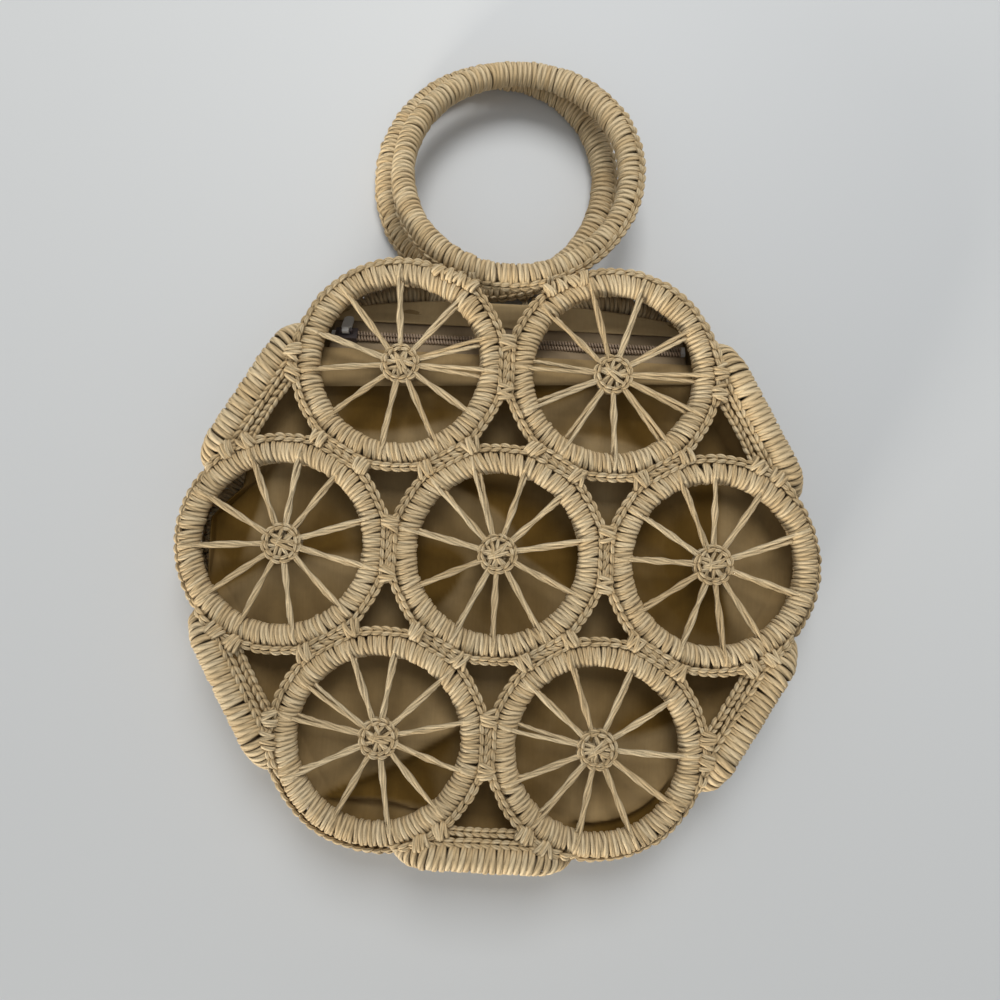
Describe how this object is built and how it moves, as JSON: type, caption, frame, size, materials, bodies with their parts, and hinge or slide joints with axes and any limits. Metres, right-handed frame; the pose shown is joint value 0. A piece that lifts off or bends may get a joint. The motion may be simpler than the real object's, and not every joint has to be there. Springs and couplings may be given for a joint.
{
  "type": "crocheted tote bag",
  "caption": "Flat hexagonal tote bag of yarn-wrapped hoops with crocheted spokes, ring handles, a cloth lining and a zipped mouth, lying on its back.",
  "frame": {"origin": "on the ground under the middle of the bag's outline, handles included", "axes": "+X to the right across the bag, +Y towards the handles, +Z out of the front face; the bag lies on its back"},
  "size_m": [0.3364, 0.4442, 0.0486],
  "materials": {
    "yarn": "crocheted and wrapped straw yarn",
    "core_plastic": "smooth moulded tube",
    "lining_cloth": "plain woven cotton",
    "zip_tape": "woven tape",
    "zip_teeth": "coiled nylon",
    "zip_metal": "satin",
    "slider_metal": "dark satin"
  },
  "bodies": {
    "bag": {"front_wheel_centre": "yarn", "front_wheel_right": "yarn", "front_wheel_upper_right": "yarn", "front_wheel_upper_left": "yarn", "front_wheel_left": "yarn", "front_wheel_lower_left": "yarn", "front_wheel_lower_right": "yarn", "back_wheel_centre": "yarn", "back_wheel_right": "yarn", "back_wheel_upper_right": "yarn", "back_wheel_upper_left": "yarn", "back_wheel_left": "yarn", "back_wheel_lower_left": "yarn", "back_wheel_lower_right": "yarn", "front_hoop_centre": "core_plastic", "front_hoop_right": "core_plastic", "front_hoop_upper_right": "core_plastic", "front_hoop_upper_left": "core_plastic", "front_hoop_left": "core_plastic", "front_hoop_lower_left": "core_plastic", "front_hoop_lower_right": "core_plastic", "back_hoop_centre": "core_plastic", "back_hoop_right": "core_plastic", "back_hoop_upper_right": "core_plastic", "back_hoop_upper_left": "core_plastic", "back_hoop_left": "core_plastic", "back_hoop_lower_left": "core_plastic", "back_hoop_lower_right": "core_plastic", "side_bar_upper_right": "yarn", "side_bar_upper_left": "yarn", "side_bar_lower_left": "yarn", "side_bar_bottom": "yarn", "side_bar_lower_right": "yarn", "side_bar_cores": "core_plastic", "corner_nets": "yarn", "front_seams": "yarn", "back_seams": "yarn", "front_handle_ties": "yarn", "back_handle_ties": "yarn", "lining_back": "lining_cloth", "lining_front": "lining_cloth", "lining_side": "lining_cloth", "mouth_facing": "lining_cloth", "mouth_hem": "lining_cloth", "zip_tape_upper": "zip_tape", "zip_tape_lower": "zip_tape", "zip_coil_upper": "zip_teeth", "zip_coil_lower": "zip_teeth", "zip_stops": "zip_metal"},
    "front_handle_body": {"front_handle": "yarn", "front_handle_core": "core_plastic"},
    "back_handle_body": {"back_handle": "yarn", "back_handle_core": "core_plastic"},
    "zip_slider_body": {"zip_slider": "slider_metal"},
    "zip_pull_body": {"zip_pull": "zip_metal"}
  },
  "joints": [
    {"name": "front_handle_swing", "type": "hinge", "parent": "bag", "child": "front_handle_body", "pos_m": [0, 0.08509, 0.0464], "axis": [1, 0, 0], "range_deg": [0, 180]},
    {"name": "back_handle_swing", "type": "hinge", "parent": "bag", "child": "back_handle_body", "pos_m": [-0.012, 0.0866, 0.00249], "axis": [1, 0, 0], "range_deg": [-130, 0]},
    {"name": "zip_slide", "type": "slide", "parent": "bag", "child": "zip_slider_body", "axis": [1, 0, 0], "range_m": [0, 0.1775]},
    {"name": "zip_pull_swing", "type": "hinge", "parent": "zip_slider_body", "child": "zip_pull_body", "pos_m": [-0.08878, 0.05701, 0.02552], "axis": [1, 0, 0], "range_deg": [0, 60]}
  ]
}
